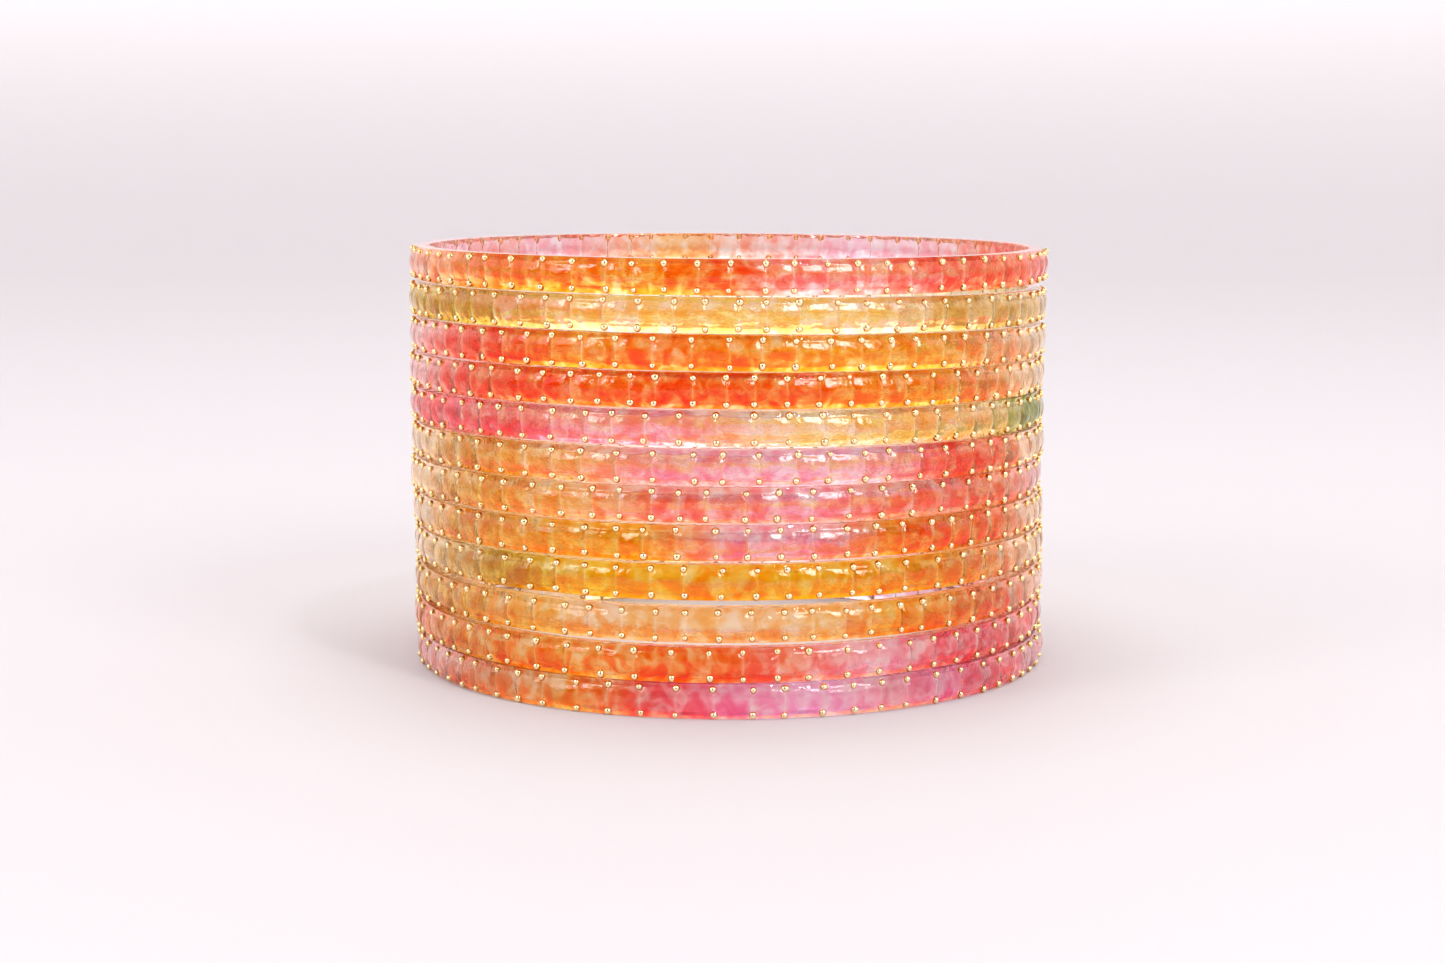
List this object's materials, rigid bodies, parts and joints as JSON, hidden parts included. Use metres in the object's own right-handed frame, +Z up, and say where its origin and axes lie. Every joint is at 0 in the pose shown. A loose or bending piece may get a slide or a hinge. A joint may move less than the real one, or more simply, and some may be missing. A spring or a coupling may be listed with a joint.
{
  "type": "bangle bracelet",
  "caption": "Loose stack of slim pressed-glass bangles in shaded warm tints, with pillow facets and rows of gold dots; worn together over the hand.",
  "frame": {"origin": "centre of the stack on the surface that it stands on", "axes": "+Z up along the axis of the bangles, +X to the right and -Y to the front"},
  "size_m": [0.0648, 0.0646, 0.0421],
  "materials": {
    "bangle_01_glass": "clear glass shaded pink and peach",
    "bangle_02_glass": "clear glass shaded orange and red",
    "bangle_03_glass": "clear glass shaded cream and amber",
    "bangle_04_glass": "clear glass shaded golden yellow and amber",
    "bangle_05_glass": "clear glass shaded tan and pink",
    "bangle_06_glass": "clear glass shaded tan, pink and coral",
    "bangle_07_glass": "clear glass shaded tan, peach and coral",
    "bangle_08_glass": "clear glass shaded hot pink, cream and green",
    "bangle_09_glass": "clear glass shaded red and burnt orange",
    "bangle_10_glass": "clear glass shaded red, orange and amber",
    "bangle_11_glass": "clear glass shaded pale olive green and cream",
    "bangle_12_glass": "clear glass shaded salmon and red orange",
    "gold_enamel": "bright gold enamel dots"
  },
  "bodies": {
    "bangle_01": {"bangle_01_glass": "bangle_01_glass", "bangle_01_gold_lower": "gold_enamel", "bangle_01_gold_upper": "gold_enamel"},
    "bangle_02": {"bangle_02_glass": "bangle_02_glass", "bangle_02_gold_lower": "gold_enamel", "bangle_02_gold_upper": "gold_enamel"},
    "bangle_03": {"bangle_03_glass": "bangle_03_glass", "bangle_03_gold_lower": "gold_enamel", "bangle_03_gold_upper": "gold_enamel"},
    "bangle_04": {"bangle_04_glass": "bangle_04_glass", "bangle_04_gold_lower": "gold_enamel", "bangle_04_gold_upper": "gold_enamel"},
    "bangle_05": {"bangle_05_glass": "bangle_05_glass", "bangle_05_gold_lower": "gold_enamel", "bangle_05_gold_upper": "gold_enamel"},
    "bangle_06": {"bangle_06_glass": "bangle_06_glass", "bangle_06_gold_lower": "gold_enamel", "bangle_06_gold_upper": "gold_enamel"},
    "bangle_07": {"bangle_07_glass": "bangle_07_glass", "bangle_07_gold_lower": "gold_enamel", "bangle_07_gold_upper": "gold_enamel"},
    "bangle_08": {"bangle_08_glass": "bangle_08_glass", "bangle_08_gold_lower": "gold_enamel", "bangle_08_gold_upper": "gold_enamel"},
    "bangle_09": {"bangle_09_glass": "bangle_09_glass", "bangle_09_gold_lower": "gold_enamel", "bangle_09_gold_upper": "gold_enamel"},
    "bangle_10": {"bangle_10_glass": "bangle_10_glass", "bangle_10_gold_lower": "gold_enamel", "bangle_10_gold_upper": "gold_enamel"},
    "bangle_11": {"bangle_11_glass": "bangle_11_glass", "bangle_11_gold_lower": "gold_enamel", "bangle_11_gold_upper": "gold_enamel"},
    "bangle_12": {"bangle_12_glass": "bangle_12_glass", "bangle_12_gold_lower": "gold_enamel", "bangle_12_gold_upper": "gold_enamel"}
  },
  "joints": [
    {"name": "bangle_02_slide", "type": "slide", "parent": "bangle_01", "child": "bangle_02", "axis": [0, 0, 1], "range_m": [0, 0.012]},
    {"name": "bangle_03_slide", "type": "slide", "parent": "bangle_02", "child": "bangle_03", "axis": [0, 0, 1], "range_m": [0, 0.012]},
    {"name": "bangle_04_slide", "type": "slide", "parent": "bangle_03", "child": "bangle_04", "axis": [0, 0, 1], "range_m": [0, 0.012]},
    {"name": "bangle_05_slide", "type": "slide", "parent": "bangle_04", "child": "bangle_05", "axis": [0, 0, 1], "range_m": [0, 0.012]},
    {"name": "bangle_06_slide", "type": "slide", "parent": "bangle_05", "child": "bangle_06", "axis": [0, 0, 1], "range_m": [0, 0.012]},
    {"name": "bangle_07_slide", "type": "slide", "parent": "bangle_06", "child": "bangle_07", "axis": [0, 0, 1], "range_m": [0, 0.012]},
    {"name": "bangle_08_slide", "type": "slide", "parent": "bangle_07", "child": "bangle_08", "axis": [0, 0, 1], "range_m": [0, 0.012]},
    {"name": "bangle_09_slide", "type": "slide", "parent": "bangle_08", "child": "bangle_09", "axis": [0, 0, 1], "range_m": [0, 0.012]},
    {"name": "bangle_10_slide", "type": "slide", "parent": "bangle_09", "child": "bangle_10", "axis": [0, 0, 1], "range_m": [0, 0.012]},
    {"name": "bangle_11_slide", "type": "slide", "parent": "bangle_10", "child": "bangle_11", "axis": [0, 0, 1], "range_m": [0, 0.012]},
    {"name": "bangle_12_slide", "type": "slide", "parent": "bangle_11", "child": "bangle_12", "axis": [0, 0, 1], "range_m": [0, 0.012]}
  ]
}
